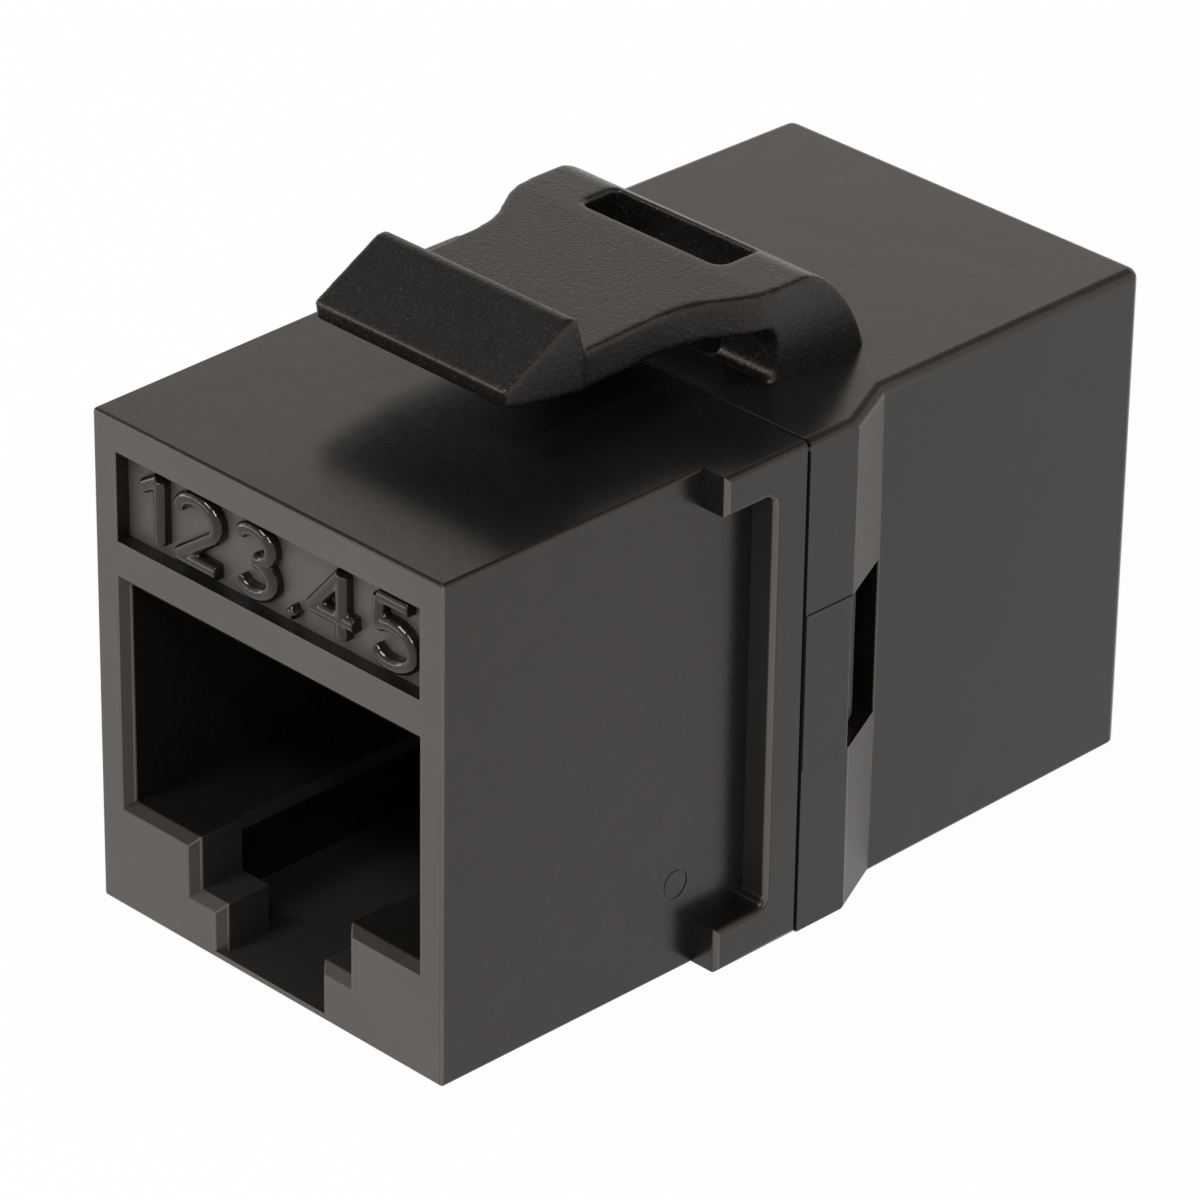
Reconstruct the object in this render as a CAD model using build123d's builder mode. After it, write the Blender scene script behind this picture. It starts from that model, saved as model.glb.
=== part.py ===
from build123d import *
import math
import os

# Inline keystone coupler: a moulded shell in two halves with a sprung latch on top and an eight-way
# modular port at each end. A circuit board in the roof joins the two rows of spring contacts.
#
# Millimetres. The origin is at the middle of the footprint, on the bottom face. +Z is up, towards the
# latch, and +Y runs from the front port to the rear port. A "station" is a distance back from the
# front face, and a "height" is a distance up from the bottom face.

# Shell
body_width = 14.5             # at the end faces
body_height = 16.2            # at the end faces
body_length = 28.6
parting_station = 13.25       # where the two halves meet
side_draft = 0.6              # degrees that each side opens from an end face to the parting line
top_draft = 0.38              # degrees that the top rises from an end face to the parting line
side_wall = 1.2
roof_wall = 1.15
end_wall = 1.3                # above the port
corner_radius = 0.12          # upright corners of the front half
edge_radius = 0.12            # upper edges of the front half
rear_corner_radius = 0.4
rear_edge_radius = 0.35
bottom_edge_limit = 0.12      # round along the lower edges, where the thin web leaves room for it
parting_bevel = 0.07          # edge break that shows as the parting line

# Port, the same at both ends
port_ledge = 3.6              # height of the ledge that the plug slides on
port_height = 7.2             # from the ledge up
port_chamfer = 0.3
key_wall = 1.9                # thickness of the stepped wall under the ledge
key_upper_width = 6.4
key_upper_floor = 1.85        # height
key_lower_width = 4.1
floor_wall = 0.25             # the thin web under the keyway
rail_gap = 6.6                # between the two rails behind the stepped wall
rail_thickness = 0.5
channel_width = 8.8           # under the rails

# Label recess in the front face, between the mouth and the top edge
label_side_margin = 0.95
label_upper_margin = 1.1
label_lower_margin = 1.15
label_depth = 0.5

# Bracket-shaped flange on each side of the front half
flange_rise = 0.91            # above the side at the parting line
flange_bar = 1.3              # length of the upright bar, up to the parting line
flange_arm = 2.0              # how far the two arms reach in front of the bar
flange_upper_arm = 1.2        # height of the upper arm
flange_lower_arm = 1.45       # height of the lower arm
flange_corner = 0.4
flange_edge = 0.2

# Band round the front of the rear half
band_rise = 0.96              # above the side at the parting line
band_length = 1.95            # parallel stretch, back from the parting line
band_slope_length = 2.15      # slope down to the body
band_corner = 0.45

# Snap hooks of the front half and their windows in the rear half
window_bottom = 5.5           # height
window_height = 5.1
hook_root = 1.0               # overlap with the front half's wall
hook_thickness = 1.1
hook_clearance = 0.1
barb_rise = 0.75
barb_length = 1.35

# Foot of the latch, on the rear half
foot_setback = 1.95           # from the parting line to the front of the legs
foot_top_length = 1.55        # from the front of the legs to the crest
foot_length = 3.65            # from the front of the legs to the rear, at the roof
foot_rear_bulge = 0.32        # how far the rear face bows out from a straight slope
foot_sink = 0.6               # how deep the foot's outline reaches into the roof
foot_edge = 0.3
slot_width = 5.7
slot_length = 1.4             # behind the front of the legs

# Latch
latch_rise = 3.05             # top of the root above the end faces' height
latch_arm_dip = 0.18          # how much lower the top lies behind the thumb tab
latch_thickness = 1.25
latch_arm_width = 7.7
latch_root_width = 10.2
latch_pivot_lead = 0.2        # the bending line lies this far in front of the legs
latch_shoulder = 0.8          # full width in front of the legs
latch_flare = 2.5             # length over which the arm widens
latch_knuckle_gap = 0.05
latch_edge = 0.2
panel_gap = 1.28              # from the upright lip back to the flange arms
tab_length = 3.17             # from the tab's nose back to the lip
tab_lip_lean = 0.35           # how far the lip leans forward over its height
tab_ridge_width = 0.35
tab_rise = 4.05               # ridge above the end faces' height
tab_nose_top = 2.7            # above the end faces' height
tab_nose_height = 0.57
tab_keel_setback = 0.9        # behind the nose
tab_keel_drop = 0.2           # below the nose
tab_corner = 0.15

# Circuit board
board_thickness = 1.0
board_headroom = 1.05         # above the board
board_clearance = 0.3         # to the end walls
board_side_clearance = 0.15

# Contacts
contact_count = 8
contact_pitch = 1.016
contact_width = 0.4
contact_thickness = 0.28
contact_pin_station = 3.2
contact_stagger = 1.4         # every second pin stands this much further back
contact_pin_rise = 0.5        # above the board
contact_shoulder_drop = 1.4   # from the board to where the wire turns into the port
contact_touch_run = 5.8       # from the first pin back to where the plug meets the wire
contact_touch_drop = 2.8      # below the port's roof
contact_tip_run = 2.2         # from there to the free end
contact_tip_rise = 0.75
contact_bend = 0.5
contact_hole_radius = 0.48

# Contact carriers
carrier_clearance = 0.1       # to the walls around it
carrier_slot_lead = 0.9       # in front of the first pin
carrier_slot_depth = 1.65     # into the comb wall
carrier_slot_drop = 0.8       # below the place where the plug meets the wires
carrier_slot_width = 0.68
carrier_comb_lead = 0.25      # comb wall in front of the wires' free ends
carrier_tongue_clearance = 0.3

front = -body_length / 2
middle_station = body_length / 2
side_rise = math.tan(math.radians(side_draft))
top_rise = math.tan(math.radians(top_draft))
half_at_parting = body_width / 2 + parting_station * side_rise
top_at_parting = body_height + parting_station * top_rise
half_at_rear = half_at_parting - (body_length - parting_station) * side_rise
top_at_rear = top_at_parting - (body_length - parting_station) * top_rise
roof_underside = body_height - roof_wall
bottom_edge_radius = min(bottom_edge_limit, floor_wall / 2)

port_width = body_width - 2 * side_wall
port_top = port_ledge + port_height
label_bottom = port_top + port_chamfer + label_lower_margin
label_top = body_height - label_upper_margin

flange_half = half_at_parting + flange_rise
flange_bar_station = parting_station - flange_bar
flange_arm_station = flange_bar_station - flange_arm
flange_top_at_arm = top_at_parting - (flange_bar + flange_arm) * top_rise
band_half = half_at_parting + band_rise
band_end_station = parting_station + band_length
slope_end_station = band_end_station + band_slope_length
half_at_slope_end = half_at_parting - (band_length + band_slope_length) * side_rise

hook_inner = port_width / 2
hook_outer = hook_inner + hook_thickness
barb_station = band_end_station + hook_clearance

foot_front_station = parting_station + foot_setback
foot_crest_station = foot_front_station + foot_top_length
foot_rear_station = foot_front_station + foot_length
foot_base = body_height - foot_sink
latch_top = body_height + latch_rise
latch_underside = latch_top - latch_thickness
latch_pivot_station = foot_front_station - latch_pivot_lead
latch_pivot = latch_top - latch_thickness / 2
latch_flare_end = foot_front_station - latch_shoulder
latch_flare_start = latch_flare_end - latch_flare
tab_lip_station = flange_arm_station - panel_gap
tab_nose_station = tab_lip_station - tab_length
tab_ridge_station = tab_lip_station - tab_lip_lean
tab_ridge = body_height + tab_rise
tab_nose = body_height + tab_nose_top

board_top = roof_underside - board_headroom
board_bottom = board_top - board_thickness
board_end = end_wall + board_clearance
contact_touch_station = contact_pin_station + contact_touch_run
contact_touch = port_top - contact_touch_drop
contact_tip_station = contact_touch_station + contact_tip_run
carrier_comb_station = contact_tip_station - carrier_comb_lead
carrier_end_station = middle_station - carrier_clearance / 2

# Views to draw in: from the side (station, height), from above (x, station), from the front (x, height)
side_view = Plane(origin=(0, front, 0), x_dir=(0, 1, 0), z_dir=(1, 0, 0))
plan_view = Plane(origin=(0, front, 0), x_dir=(1, 0, 0), z_dir=(0, 0, 1))
face_view = Plane(origin=(0, front, 0), x_dir=(1, 0, 0), z_dir=(0, -1, 0))

half_turn = 180               # degrees about Z that turn a piece of the front port into one of the rear port


def contact_x(index):
    """Sideways place of a contact, counted from the left of its own port."""
    return (index - (contact_count - 1) / 2) * contact_pitch


def pin_station(index):
    """Station of a contact's pin. The pins stand in two staggered rows."""
    return contact_pin_station + contact_stagger * (index % 2)


def free_edges(face, mating_edges):
    """Edges round a face, apart from those at the parting line."""
    return [edge for edge in face.edges() if edge not in mating_edges]


def mouth_edges(end_face):
    """Edges of the port's mouth in an end face, apart from the thin web under the keyway."""
    return end_face.inner_wires()[0].edges().sort_by(Axis.Z)[1:]


# Half of the inner space, from the front face to the middle of the coupler
with BuildPart() as port_space:
    with BuildSketch(face_view):
        with BuildLine():
            mouth_left = Polyline(
                (0, floor_wall),
                (-key_lower_width / 2, floor_wall),
                (-key_lower_width / 2, key_upper_floor),
                (-key_upper_width / 2, key_upper_floor),
                (-key_upper_width / 2, port_ledge),
                (-port_width / 2, port_ledge),
                (-port_width / 2, port_top),
                (0, port_top),
            )
            mirror(mouth_left, about=Plane.YZ)
        make_face()
    extrude(amount=-key_wall)
    with BuildSketch(side_view):
        with Locations(((end_wall + middle_station) / 2, (port_ledge + roof_underside) / 2)):
            Rectangle(middle_station - end_wall, roof_underside - port_ledge)
    extrude(amount=port_width / 2, both=True)
    with BuildSketch(side_view):
        with Locations(((key_wall + middle_station) / 2, (floor_wall + port_ledge) / 2)):
            Rectangle(middle_station - key_wall, port_ledge - floor_wall)
    extrude(amount=rail_gap / 2, both=True)
    with BuildSketch(side_view):
        rail_underside = port_ledge - rail_thickness
        with Locations(((key_wall + middle_station) / 2, (floor_wall + rail_underside) / 2)):
            Rectangle(middle_station - key_wall, rail_underside - floor_wall)
    extrude(amount=channel_width / 2, both=True)

rear_port_space = port_space.part.rotate(Axis.Z, half_turn)

# The two flanges, as one bar across that the front half swallows
with BuildPart() as flanges:
    with BuildSketch(side_view):
        with BuildLine():
            Polyline(
                (flange_arm_station, 0),
                (parting_station, 0),
                (parting_station, top_at_parting),
                (flange_arm_station, flange_top_at_arm),
                (flange_arm_station, body_height - flange_upper_arm),
                (flange_bar_station, body_height - flange_upper_arm),
                (flange_bar_station, flange_lower_arm),
                (flange_arm_station, flange_lower_arm),
                close=True,
            )
        make_face()
        inner_corners = vertices().filter_by_position(
            Axis.X, flange_bar_station - 0.01, flange_bar_station + 0.01
        )
        fillet(inner_corners, radius=flange_corner)
    extrude(amount=flange_half, both=True)
    mating_edges = edges().group_by(Axis.Y)[-1]
    outer_edges = edges().group_by(Axis.X)[0] + edges().group_by(Axis.X)[-1]
    fillet([edge for edge in outer_edges if edge not in mating_edges], radius=flange_edge)

# Both snap hooks, drawn from above on the right and mirrored
with BuildPart() as hooks:
    with BuildSketch(plan_view.offset(window_bottom + hook_clearance)):
        with BuildLine():
            Polyline(
                (hook_inner, parting_station - hook_root),
                (hook_outer, parting_station - hook_root),
                (hook_outer, barb_station),
                (hook_outer + barb_rise, barb_station),
                (hook_outer + barb_rise, barb_station + hook_clearance),
                (hook_outer, barb_station + barb_length),
                (hook_inner, barb_station + barb_length),
                close=True,
            )
        make_face()
        mirror(about=Plane.YZ)
    extrude(amount=window_height - 2 * hook_clearance)

with BuildPart() as front_housing:
    with BuildSketch(plan_view):
        with BuildLine():
            Polyline(
                (-body_width / 2, 0),
                (body_width / 2, 0),
                (half_at_parting, parting_station),
                (-half_at_parting, parting_station),
                close=True,
            )
        make_face()
        fillet(vertices().group_by(Axis.Y)[0], radius=corner_radius)
    extrude(amount=top_at_parting)
    with BuildSketch(side_view):
        with BuildLine():
            Polyline(
                (0, 0), (parting_station, 0), (parting_station, top_at_parting), (0, body_height), close=True
            )
        make_face()
    extrude(amount=band_half, both=True, mode=Mode.INTERSECT)
    mating_edges = edges().group_by(Axis.Y)[-1]
    fillet(free_edges(faces().sort_by(Axis.Z)[0], mating_edges), radius=bottom_edge_radius)
    mating_edges = edges().group_by(Axis.Y)[-1]
    fillet(free_edges(faces().sort_by(Axis.Z)[-1], mating_edges), radius=edge_radius)
    add(flanges.part)
    chamfer(faces().sort_by(Axis.Y)[-1].outer_wire().edges(), length=parting_bevel)
    add(port_space.part, mode=Mode.SUBTRACT)
    add(rear_port_space, mode=Mode.SUBTRACT)
    chamfer(mouth_edges(faces().sort_by(Axis.Y)[0]), length=port_chamfer)
    with BuildSketch(face_view):
        with Locations((0, (label_bottom + label_top) / 2)):
            Rectangle(body_width - 2 * label_side_margin, label_top - label_bottom)
    extrude(amount=-label_depth, mode=Mode.SUBTRACT)
    add(hooks.part)

# Foot of the latch: two legs and a bar behind the slot, sunk into the roof
with BuildPart() as latch_foot:
    foot_half = latch_root_width / 2
    with BuildSketch(side_view):
        with BuildLine():
            Polyline(
                (foot_crest_station, latch_top),
                (foot_front_station, latch_top),
                (foot_front_station, foot_base),
                (foot_rear_station, foot_base),
                (foot_rear_station, body_height),
            )
            SagittaArc(
                (foot_rear_station, body_height), (foot_crest_station, latch_top), -foot_rear_bulge
            )
        make_face()
    extrude(amount=foot_half, both=True)
    side_edges = edges().group_by(Axis.X)[0] + edges().group_by(Axis.X)[-1]
    fillet([edge for edge in side_edges if edge.center().Z > body_height], radius=foot_edge)
    with BuildSketch(side_view):
        with Locations((latch_pivot_station, latch_pivot)):
            Circle(latch_thickness / 2 + latch_knuckle_gap)
    extrude(amount=foot_half, both=True, mode=Mode.SUBTRACT)
    with BuildSketch(side_view):
        with Locations((foot_front_station, latch_top)):
            Rectangle(2 * slot_length, 2 * (latch_top - foot_base))
    extrude(amount=slot_width / 2, both=True, mode=Mode.SUBTRACT)

with BuildPart() as rear_housing:
    with BuildSketch(plan_view):
        with BuildLine():
            Polyline(
                (-band_half, parting_station),
                (band_half, parting_station),
                (band_half, band_end_station),
                (half_at_slope_end, slope_end_station),
                (half_at_rear, body_length),
                (-half_at_rear, body_length),
                (-half_at_slope_end, slope_end_station),
                (-band_half, band_end_station),
                close=True,
            )
        make_face()
        plan_corners = vertices().group_by(Axis.Y)
        fillet(plan_corners[-1], radius=rear_corner_radius)
        fillet(plan_corners[1] + plan_corners[2], radius=band_corner)
    extrude(amount=top_at_parting)
    with BuildSketch(side_view):
        with BuildLine():
            Polyline(
                (parting_station, 0),
                (body_length, 0),
                (body_length, top_at_rear),
                (parting_station, top_at_parting),
                close=True,
            )
        make_face()
    extrude(amount=band_half, both=True, mode=Mode.INTERSECT)
    mating_edges = edges().group_by(Axis.Y)[0]
    fillet(free_edges(faces().sort_by(Axis.Z)[0], mating_edges), radius=bottom_edge_radius)
    mating_edges = edges().group_by(Axis.Y)[0]
    fillet(free_edges(faces().sort_by(Axis.Z)[-1], mating_edges), radius=rear_edge_radius)
    chamfer(faces().sort_by(Axis.Y)[0].outer_wire().edges(), length=parting_bevel)
    add(latch_foot.part)
    add(port_space.part, mode=Mode.SUBTRACT)
    add(rear_port_space, mode=Mode.SUBTRACT)
    chamfer(mouth_edges(faces().sort_by(Axis.Y)[-1]), length=port_chamfer)
    with BuildSketch(plan_view.offset(window_bottom)):
        with BuildLine():
            Polyline(
                (hook_inner - hook_clearance, parting_station),
                (hook_outer + hook_clearance, parting_station),
                (hook_outer + hook_clearance, band_end_station),
                (band_half, band_end_station),
                (band_half, slope_end_station),
                (hook_inner - hook_clearance, slope_end_station),
                close=True,
            )
        make_face()
        mirror(about=Plane.YZ)
    extrude(amount=window_height, mode=Mode.SUBTRACT)

with BuildPart() as keystone_latch:
    with BuildSketch(side_view):
        with BuildLine():
            Polyline(
                (latch_pivot_station, latch_top),
                (tab_lip_station, latch_top - latch_arm_dip),
                (tab_ridge_station, tab_ridge),
                (tab_ridge_station - tab_ridge_width, tab_ridge),
                (tab_nose_station, tab_nose),
                (tab_nose_station, tab_nose - tab_nose_height),
                (tab_nose_station + tab_keel_setback, tab_nose - tab_nose_height - tab_keel_drop),
                (tab_lip_station, latch_underside - latch_arm_dip),
                (latch_pivot_station, latch_underside),
            )
            RadiusArc(
                (latch_pivot_station, latch_underside),
                (latch_pivot_station, latch_top),
                -latch_thickness / 2,
            )
        make_face()
        arm_end = vertices().group_by(Axis.X)[-1]
        fillet([corner for corner in vertices() if corner not in arm_end], radius=tab_corner)
    extrude(amount=latch_root_width / 2, both=True)
    with BuildSketch(plan_view.offset(body_height)):
        with BuildLine():
            flare = Spline(
                (latch_arm_width / 2, latch_flare_start),
                (latch_root_width / 2, latch_flare_end),
                tangents=((0, 1), (0, 1)),
            )
            outline = Polyline(
                (0, 0), (latch_arm_width / 2, 0), (latch_arm_width / 2, latch_flare_start)
            )
            root = Polyline(
                (latch_root_width / 2, latch_flare_end),
                (latch_root_width / 2, foot_rear_station),
                (0, foot_rear_station),
            )
            mirror((flare, outline, root), about=Plane.YZ)
        make_face()
    extrude(amount=body_height, mode=Mode.INTERSECT)
    side_edges = edges().filter_by(lambda edge: abs(edge.center().X) > latch_arm_width / 2 - latch_edge)
    fillet(side_edges, radius=latch_edge)

# Front contact carrier: a comb over the port, with an upright comb wall that ends in a tongue
with BuildPart() as front_contact_carrier:
    with BuildSketch(side_view):
        with BuildLine():
            Polyline(
                (end_wall + carrier_clearance, port_top),
                (carrier_comb_station, port_top),
                (carrier_comb_station, port_ledge),
                (carrier_end_station, port_ledge),
                (carrier_end_station, board_bottom),
                (end_wall + carrier_clearance, board_bottom),
                close=True,
            )
        make_face()
    extrude(amount=port_width / 2 - carrier_clearance, both=True)
    with BuildSketch(side_view):
        with BuildLine():
            Polyline(
                (carrier_comb_station, port_ledge),
                (carrier_comb_station, floor_wall + carrier_tongue_clearance),
                (carrier_end_station, floor_wall + carrier_tongue_clearance),
                (carrier_end_station, port_ledge),
                close=True,
            )
        make_face()
    extrude(amount=rail_gap / 2 - carrier_tongue_clearance, both=True)
    slot_bottom = contact_touch - carrier_slot_drop
    slot_front = contact_pin_station - carrier_slot_lead
    slot_rear = carrier_comb_station + carrier_slot_depth
    for index in range(contact_count):
        with BuildSketch(side_view.offset(contact_x(index))):
            with BuildLine():
                Polyline(
                    (slot_front, slot_bottom),
                    (slot_rear, slot_bottom),
                    (slot_rear, board_bottom),
                    (slot_front, board_bottom),
                    close=True,
                )
            make_face()
        extrude(amount=carrier_slot_width / 2, both=True, mode=Mode.SUBTRACT)

with BuildPart() as circuit_board:
    with BuildSketch(plan_view.offset(board_bottom)):
        with Locations((0, middle_station)):
            Rectangle(port_width - 2 * board_side_clearance, body_length - 2 * board_end)
        for index in range(contact_count):
            with Locations(
                (contact_x(index), pin_station(index)),
                (-contact_x(index), body_length - pin_station(index)),
            ):
                Circle(contact_hole_radius, mode=Mode.SUBTRACT)
    extrude(amount=board_thickness)


def spring_contact(index):
    """One spring wire of the front port, from its pin in the board to its free end in the comb."""
    with BuildPart() as wire:
        with BuildSketch(side_view.offset(contact_x(index))):
            with BuildLine():
                FilletPolyline(
                    (pin_station(index), board_top + contact_pin_rise),
                    (pin_station(index), board_bottom - contact_shoulder_drop),
                    (contact_touch_station, contact_touch),
                    (contact_tip_station, contact_touch + contact_tip_rise),
                    radius=contact_bend,
                )
            trace(line_width=contact_thickness)
        extrude(amount=contact_width / 2, both=True)
    return wire.part


front_contacts = [spring_contact(index) for index in range(contact_count)]

pieces = {
    "front_housing": front_housing.part,
    "rear_housing": rear_housing.part,
    "keystone_latch": keystone_latch.part,
    "circuit_board": circuit_board.part,
    "front_contact_carrier": front_contact_carrier.part,
    "rear_contact_carrier": front_contact_carrier.part.rotate(Axis.Z, half_turn),
}
for index, contact in enumerate(front_contacts):
    pieces[f"front_contact_{index + 1}"] = contact
    pieces[f"rear_contact_{index + 1}"] = contact.rotate(Axis.Z, half_turn)

os.makedirs("parts", exist_ok=True)
for name, piece in pieces.items():
    piece.label = name
    export_step(piece, f"parts/{name}.step")
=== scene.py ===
import math

import bmesh
import bpy
from mathutils import Matrix, Vector


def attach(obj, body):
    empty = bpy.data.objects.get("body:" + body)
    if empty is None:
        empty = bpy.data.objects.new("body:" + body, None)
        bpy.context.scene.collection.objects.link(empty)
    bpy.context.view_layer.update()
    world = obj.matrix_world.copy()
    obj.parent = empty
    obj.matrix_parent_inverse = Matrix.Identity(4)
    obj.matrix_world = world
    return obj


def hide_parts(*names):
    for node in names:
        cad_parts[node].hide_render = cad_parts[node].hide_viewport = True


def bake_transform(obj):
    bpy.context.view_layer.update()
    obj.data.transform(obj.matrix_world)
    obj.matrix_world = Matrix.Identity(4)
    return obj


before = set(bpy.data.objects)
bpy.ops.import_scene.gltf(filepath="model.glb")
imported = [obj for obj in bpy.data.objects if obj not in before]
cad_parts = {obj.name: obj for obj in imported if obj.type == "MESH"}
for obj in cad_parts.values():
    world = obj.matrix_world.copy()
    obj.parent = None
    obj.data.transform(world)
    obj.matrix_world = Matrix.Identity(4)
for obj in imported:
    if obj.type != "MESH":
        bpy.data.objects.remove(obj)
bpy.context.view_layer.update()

# Places are given as x, station and height in millimetres. A station is a distance back from the
# front face, and a height is a distance up from the bottom face, as in the part's own source.
MM = 0.001
FRONT_FACE = -14.3
BODY_LENGTH = -2 * FRONT_FACE

# Shell
PARTING_STATION = 13.25
ROOF_AT_PARTING = 16.288
ROOF_SLOPE = math.tan(math.radians(0.38))
ABOVE_ROOF = 0.01             # the latch's foot is what stands out of the roof by more than this
SIDE_AT_FRONT = 7.25
SIDE_SLOPE = math.tan(math.radians(0.6))
INNER_HALF = 7.2              # the flanges and the band's slopes lie outside this half width
BAND_HALF = 8.349
BAND_END = 15.2
WEB_HEIGHT = 0.3              # the thin web under the keyway is below this
JOINED_CORNERS = 0.001        # corners nearer to each other than this are one
SAME_PLANE = math.radians(0.2)
CLEAR = 1                     # a cutter reaches about this far past what it cuts

# Rounds on the shell's edges
EDGE_BREAK = 0.09             # on the upper rims of the end faces
EDGE_SHARE = 0.55             # the other edges get this share of it
RIM_HEIGHT = 15.6
MOUTH_DEPTH = 1               # the rims of the end faces lie within this depth
BEHIND_SEAM = PARTING_STATION + 0.1
SHORTEST_EDGE = 0.09
SHARP_EDGE = math.radians(50)      # an outer edge that turns by more than this gets a round
FLAT_CREASE = math.radians(12)     # and one between two flat faces from this turn on
ROUND_REACH = math.radians(50)     # a round is shaded together with faces that turn by less
ROUND_SEGMENTS = 2
FLAT_WIDTH = 0.15             # a narrower face belongs to a round

# Joint between the halves
SEAM_BREAK = 0.07             # the solids' own edge break at the joint
SEAM_DEPTH = 0.17             # the joint's groove goes this much deeper
ON_SEAM = 0.004               # a corner this near to the groove's station belongs to it

# Traces of the mould
SLIDER_HEIGHTS = (5.5, 10.6)  # the slider's face lies between these, and stands a little proud
SLIDER_STEP = 0.035
ON_STEP = 0.01                # an edge this near to one of the heights belongs to its step
EJECTOR_PLACE = (9.15, 2.98)  # station and height of the shallow ring on each side
EJECTOR_RADIUS = 0.42
EJECTOR_WIDTH = 0.07
EJECTOR_DEPTH = 0.02
EJECTOR_STEPS = 40

# Where the shell's finishes and their painted light lie
END_DEPTH = 0.6               # the end faces' finish reaches this far in
FACING = 0.98                 # share of a normal that points straight out of the end
BAND_SLOPE = (0.3, 0.6)       # share of a normal that points back, on the band's slopes
UPRIGHT = 0.1                 # share of a normal that points up, at most, on those slopes
KEYWAY_HALF = 3.3             # the keyway's walls and floors lie within this half width,
KEYWAY_TOP = 3.55             # below this height,
KEYWAY_DEPTH = 12             # and not further in than this
BAR_STATIONS = (11, 12.9)     # the front faces of the flanges' upright bars lie between these
BAR_FACING = 0.9
HIGHLIGHT_HALF = 7                 # the rounds with a painted highlight lie outside this half width,
HIGHLIGHT_DEPTH = 0.35             # or within this depth of an end face
HIGHLIGHT_TURN = 0.25              # share of a normal, at least, both sideways and lengthwise
HIGHLIGHT_TILT = 0.35              # share of a normal, at most, that points up or down

# Latch and its foot, as one moulding
LATCH_TOP = 19.25
LATCH_UNDERSIDE = 18.0
LATCH_DIP = 0.18              # how much lower the arm lies behind the thumb tab
LATCH_LEVEL = 14.6            # station where the arm's top is at its full height again
LATCH_PROUD = 0.03            # the moulding stands this much outside its solids' foot
TAB_NOSE = (5.5, 18.9)
TAB_NOSE_FOOT = (5.6, 18.31)
TAB_KEEL = (6.4, 18.13)
TAB_RIDGE_FRONT = (7.97, 20.25)
TAB_RIDGE_REAR = (8.32, 20.25)
TAB_LIP_FOOT = 8.67           # station
TAB_LIP_RUN = 0.05
TAB_HALF = 3.93               # a little wider than the arm
ARM_HALF = 3.85
ROOT_HALF = 5.1
LEG_FRONT = 15.2
LEG_UPPER_ROUND = 0.55
LEG_FOOT_ROUND = 0.4
LEG_FOOT_TOP = 16.23
CREST = 16.75
CREST_ROUND = 0.9
FOOT_REAR = 18.85
FOOT_REAR_TOP = 16.2
FOOT_REAR_BULGE = 0.32
FOOT_BASE = 15.7
FLARE = (                     # station and half width
    (11.7, ARM_HALF),
    (12.5, 3.98),
    (13.05, 4.2),
    (13.55, 4.5),
    (14.05, 4.82),
    (14.6, 5.03),
    (LEG_FRONT, ROOT_HALF),
)
SLOT_HALF = 2.85
SLOT_FRONT = 15.08
SLOT_REAR = 16.6
SLOT_CORNER = 0.35
LATCH_VOXEL = 0.066
LATCH_SMOOTHING = 18

# Raised figures in the label recess
FIGURE_HEIGHT = 2.02          # between the middles of the strokes
FIGURE_FOOT = 12.68           # height
FIGURE_START = -5.4           # x
FIGURE_STRETCH = 1.38         # sideways
FIGURE_GAP = 0.78             # between the middles of neighbouring strokes
FIGURE_STROKE = 0.25          # radius
FIGURE_STATIONS = (0.36, 0.56)
FIGURE_VOXEL = 0.04
FIGURE_SMOOTHING = 5

# Spring contacts
CONTACT_COUNT = 8
CONTACT_PITCH = 1.016
CONTACT_WIRE = 0.17           # radius
CONTACT_STAGGER = 1.4
CONTACT_BEND = 0.5
CONTACT_PIN = ((3.2, 14.5), (3.2, 11.6))       # station and height
CONTACT_SPRING = ((9.0, 8.0), (11.2, 8.75))

# Finishes of the shell, by their numbers on its faces: darker tone, lighter tone and roughness
SATIN, MATT_AND_LIT, EDGE_GLOSS_AND_HIGHLIGHT, HALF_MATT_AND_LIT = range(4)
SHELL_TONES = {
    SATIN: ("housing_satin", (0.0065, 0.006, 0.0056), (0.0088, 0.0081, 0.0075), 0.26),
    # The matt and half-matt tones are lighter than the satin's partly as painted light, on faces that
    # catch more light.
    MATT_AND_LIT: ("end_face_matt_painted_light", (0.052, 0.048, 0.0445), (0.06, 0.0555, 0.0515), 0.42),
    # The edge finish's lighter tone is a painted highlight on the upright rounds; its lower roughness is
    # a real gloss.
    EDGE_GLOSS_AND_HIGHLIGHT: ("edge_gloss_painted_highlight", (0.078, 0.075, 0.071), (0.088, 0.085, 0.08), 0.22),
    HALF_MATT_AND_LIT: ("half_matt_painted_light", (0.0175, 0.0163, 0.0153), (0.022, 0.0205, 0.0193), 0.4),
}

# Other finishes. The latch's has the tone of its painted glints too.
LATCH_TONES = ((0.0045, 0.0042, 0.0041), (0.0068, 0.0064, 0.0062), (0.07, 0.067, 0.064))
LATCH_ROUGHNESS = 0.28
LATCH_GLOSS = 0.42
FIGURE_TONES = ((0.006, 0.0055, 0.0051), (0.0085, 0.0078, 0.0072))
FIGURE_ROUGHNESS = 0.17
CARRIER_TONES = ((0.006, 0.006, 0.006), (0.009, 0.009, 0.009))
CARRIER_ROUGHNESS = 0.42
GOLD_TONES = ((0.78, 0.55, 0.2), (0.86, 0.66, 0.3))
BOARD_TONES = ((0.008, 0.07, 0.03), (0.014, 0.1, 0.045))
WARM_GLOSS = (1, 0.91, 0.84, 1)

# World and ground. The two heights are those of a direction of length 1.
WORLD_TINT = (1, 0.965, 0.925, 1)
HORIZON_LIGHT = 0.95
HORIZON_TOP = 0.52            # the bright part of the world ends at this height
UPPER_LIGHT = 0.2
UPPER_FOOT = 0.62             # and its dim part starts at this one
FLOOR_TONE = (0.9, 0.9, 0.9, 1)
FLOOR_WHITE = 0.97            # share of plain white in what is seen of the floor
FLOOR_SIZE = 6                # metres

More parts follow.
